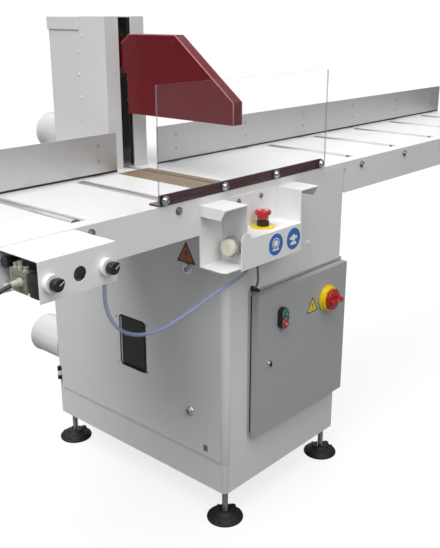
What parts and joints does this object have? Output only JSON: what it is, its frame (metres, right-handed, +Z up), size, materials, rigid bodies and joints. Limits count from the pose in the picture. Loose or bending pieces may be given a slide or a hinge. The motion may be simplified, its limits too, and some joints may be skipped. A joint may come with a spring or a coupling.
{
  "type": "cross-cut saw with roller tables",
  "caption": "Up-cut cross-cut saw: cabinet with a rising blade, roller tables, fence, lowering guard, clear shield, two-hand controls and switch enclosure.",
  "frame": {"origin": "on the floor under the middle of the machine's bounding box, without the free tube and cables", "axes": "+X along the tables towards the outfeed end, +Y to the back, +Z up"},
  "size_m": [2.512, 0.999, 1.305],
  "materials": {
    "white_powder_coat": "satin",
    "grey_powder_coat": "satin",
    "table_coat": "satin",
    "burgundy_paint": "semi-gloss",
    "smoked_pane": "gloss",
    "clear_sheet": "gloss",
    "black_plastic": "matte",
    "green_plastic": "gloss",
    "red_plastic": "gloss",
    "yellow_plastic": "gloss",
    "cream_plastic": "gloss",
    "rubber_foot": "matte",
    "chromed_lock": "polished",
    "fibre_board": "matte",
    "bare_aluminium": "satin",
    "zinc_steel": "satin",
    "roller_steel": "brushed",
    "blade_steel": "brushed",
    "cast_arm": "painted",
    "motor_paint": "painted",
    "belt_rubber": "matte",
    "blue_tube": "gloss",
    "cable_rubber": "matte"
  },
  "bodies": {
    "frame": {"cabinet": "white_powder_coat", "door_hinges": "black_plastic", "enclosure_box": "grey_powder_coat", "foot_1": "rubber_foot", "foot_2": "rubber_foot", "foot_3": "rubber_foot", "foot_4": "rubber_foot", "centre_table": "table_coat", "throat_inserts": "fibre_board", "infeed_table": "table_coat", "outfeed_table": "table_coat", "infeed_fence": "bare_aluminium", "outfeed_fence": "bare_aluminium", "bolts_and_axles": "zinc_steel", "column": "white_powder_coat", "column_cap": "white_powder_coat", "guard_rail": "zinc_steel", "guard_cylinder": "bare_aluminium", "shield": "clear_sheet", "shield_bracket": "burgundy_paint", "control_tray": "white_powder_coat", "estop_base": "yellow_plastic", "valve_cover": "white_powder_coat", "valve_block": "bare_aluminium", "lift_cylinder": "bare_aluminium", "dust_ports": "white_powder_coat", "air_tube": "blue_tube", "button_cable": "cable_rubber", "supply_lead": "cable_rubber"},
    "side_door": {"side_door": "white_powder_coat", "door_window": "smoked_pane"},
    "door_lock_upper": {"door_lock_upper": "chromed_lock"},
    "door_lock_lower": {"door_lock_lower": "chromed_lock"},
    "enclosure_door": {"enclosure_door": "grey_powder_coat", "button_bezel": "black_plastic", "switch_base": "yellow_plastic"},
    "enclosure_lock": {"enclosure_lock": "chromed_lock"},
    "start_button": {"start_button": "green_plastic"},
    "stop_button": {"stop_button": "red_plastic"},
    "main_switch": {"switch_knob": "red_plastic"},
    "guard": {"guard": "burgundy_paint"},
    "estop_head": {"estop_button": "red_plastic"},
    "palm_button_left": {"palm_button_left": "cream_plastic"},
    "palm_button_right": {"palm_button_right": "cream_plastic"},
    "knob_left": {"knob_left": "black_plastic"},
    "knob_right": {"knob_right": "black_plastic"},
    "saw_arm": {"saw_arm": "cast_arm", "motor": "motor_paint", "drive_belt": "belt_rubber"},
    "saw_blade": {"saw_blade": "blade_steel"},
    "motor_pulley": {"motor_pulley": "blade_steel"},
    "lift_rod": {"lift_rod": "zinc_steel"},
    "roller_1": {"roller_1": "roller_steel"},
    "roller_2": {"roller_2": "roller_steel"},
    "roller_3": {"roller_3": "roller_steel"},
    "roller_4": {"roller_4": "roller_steel"},
    "roller_5": {"roller_5": "roller_steel"},
    "roller_6": {"roller_6": "roller_steel"},
    "roller_7": {"roller_7": "roller_steel"},
    "roller_8": {"roller_8": "roller_steel"}
  },
  "joints": [
    {"name": "arm_swing", "type": "hinge", "parent": "frame", "child": "saw_arm", "pos_m": [-0.234, 0.2445, 0.72], "axis": [-1, 0, 0], "range_deg": [0, 29]},
    {"name": "motor_spin", "type": "hinge", "parent": "saw_arm", "child": "motor_pulley", "pos_m": [-0.334, 0.1945, 0.59], "axis": [1, 0, 0], "continuous": true},
    {"name": "blade_spin", "type": "hinge", "parent": "saw_arm", "child": "saw_blade", "pos_m": [-0.394, -0.1155, 0.68], "axis": [1, 0, 0], "continuous": true},
    {"name": "lift_rod_slide", "type": "slide", "parent": "frame", "child": "lift_rod", "axis": [0, 0, 1], "range_m": [0, 0.10161]},
    {"name": "guard_slide", "type": "slide", "parent": "frame", "child": "guard", "axis": [0, 0, 1], "range_m": [-0.14, 0.03]},
    {"name": "roller_1_spin", "type": "hinge", "parent": "frame", "child": "roller_1", "pos_m": [-0.644, -0.1545, 0.902], "axis": [0, 1, 0], "continuous": true},
    {"name": "roller_2_spin", "type": "hinge", "parent": "frame", "child": "roller_2", "pos_m": [-0.889, -0.1545, 0.902], "axis": [0, 1, 0], "continuous": true},
    {"name": "roller_3_spin", "type": "hinge", "parent": "frame", "child": "roller_3", "pos_m": [-1.134, -0.1545, 0.902], "axis": [0, 1, 0], "continuous": true},
    {"name": "roller_4_spin", "type": "hinge", "parent": "frame", "child": "roller_4", "pos_m": [0.099, -0.1545, 0.902], "axis": [0, 1, 0], "continuous": true},
    {"name": "roller_5_spin", "type": "hinge", "parent": "frame", "child": "roller_5", "pos_m": [0.344, -0.1545, 0.902], "axis": [0, 1, 0], "continuous": true},
    {"name": "roller_6_spin", "type": "hinge", "parent": "frame", "child": "roller_6", "pos_m": [0.589, -0.1545, 0.902], "axis": [0, 1, 0], "continuous": true},
    {"name": "roller_7_spin", "type": "hinge", "parent": "frame", "child": "roller_7", "pos_m": [0.834, -0.1545, 0.902], "axis": [0, 1, 0], "continuous": true},
    {"name": "roller_8_spin", "type": "hinge", "parent": "frame", "child": "roller_8", "pos_m": [1.079, -0.1545, 0.902], "axis": [0, 1, 0], "continuous": true},
    {"name": "side_door_hinge", "type": "hinge", "parent": "frame", "child": "side_door", "pos_m": [-0.4935, 0.3485, 0.505], "axis": [0, 0, -1], "range_deg": [0, 110]},
    {"name": "door_lock_upper_turn", "type": "hinge", "parent": "side_door", "child": "door_lock_upper", "pos_m": [-0.489, -0.2205, 0.703], "axis": [1, 0, 0], "range_deg": [0, 90]},
    {"name": "door_lock_lower_turn", "type": "hinge", "parent": "side_door", "child": "door_lock_lower", "pos_m": [-0.489, -0.2205, 0.303], "axis": [1, 0, 0], "range_deg": [0, 90]},
    {"name": "enclosure_door_hinge", "type": "hinge", "parent": "frame", "child": "enclosure_door", "pos_m": [0.009, -0.353, 0.44], "axis": [0, 0, 1], "range_deg": [0, 100]},
    {"name": "enclosure_lock_turn", "type": "hinge", "parent": "enclosure_door", "child": "enclosure_lock", "pos_m": [-0.346, -0.3655, 0.44], "axis": [0, 1, 0], "range_deg": [-90, 0]},
    {"name": "start_button_press", "type": "slide", "parent": "enclosure_door", "child": "start_button", "axis": [0, 1, 0], "range_m": [0, 0.004], "stiffness_N_per_m": 600},
    {"name": "stop_button_press", "type": "slide", "parent": "enclosure_door", "child": "stop_button", "axis": [0, 1, 0], "range_m": [0, 0.004], "stiffness_N_per_m": 600},
    {"name": "main_switch_turn", "type": "hinge", "parent": "enclosure_door", "child": "main_switch", "pos_m": [-0.094, -0.3855, 0.555], "axis": [0, 1, 0], "range_deg": [0, 90]},
    {"name": "estop_press", "type": "slide", "parent": "frame", "child": "estop_head", "axis": [0, 0, -1], "range_m": [0, 0.004], "stiffness_N_per_m": 1500},
    {"name": "palm_left_press", "type": "slide", "parent": "frame", "child": "palm_button_left", "axis": [1, 0, 0], "range_m": [0, 0.004], "stiffness_N_per_m": 800},
    {"name": "palm_right_press", "type": "slide", "parent": "frame", "child": "palm_button_right", "axis": [-1, 0, 0], "range_m": [0, 0.004], "stiffness_N_per_m": 800},
    {"name": "knob_left_turn", "type": "hinge", "parent": "frame", "child": "knob_left", "pos_m": [-1.079, -0.4755, 0.876], "axis": [0, 1, 0], "range_deg": [-90, 90]},
    {"name": "knob_right_turn", "type": "hinge", "parent": "frame", "child": "knob_right", "pos_m": [-0.955, -0.4755, 0.876], "axis": [0, 1, 0], "range_deg": [-90, 90]}
  ],
  "couplings": [
    {"joint": "blade_spin", "follows": "motor_spin", "ratio": 1},
    {"joint": "lift_rod_slide", "follows": "arm_swing", "m_per_rad": 0.20075}
  ]
}
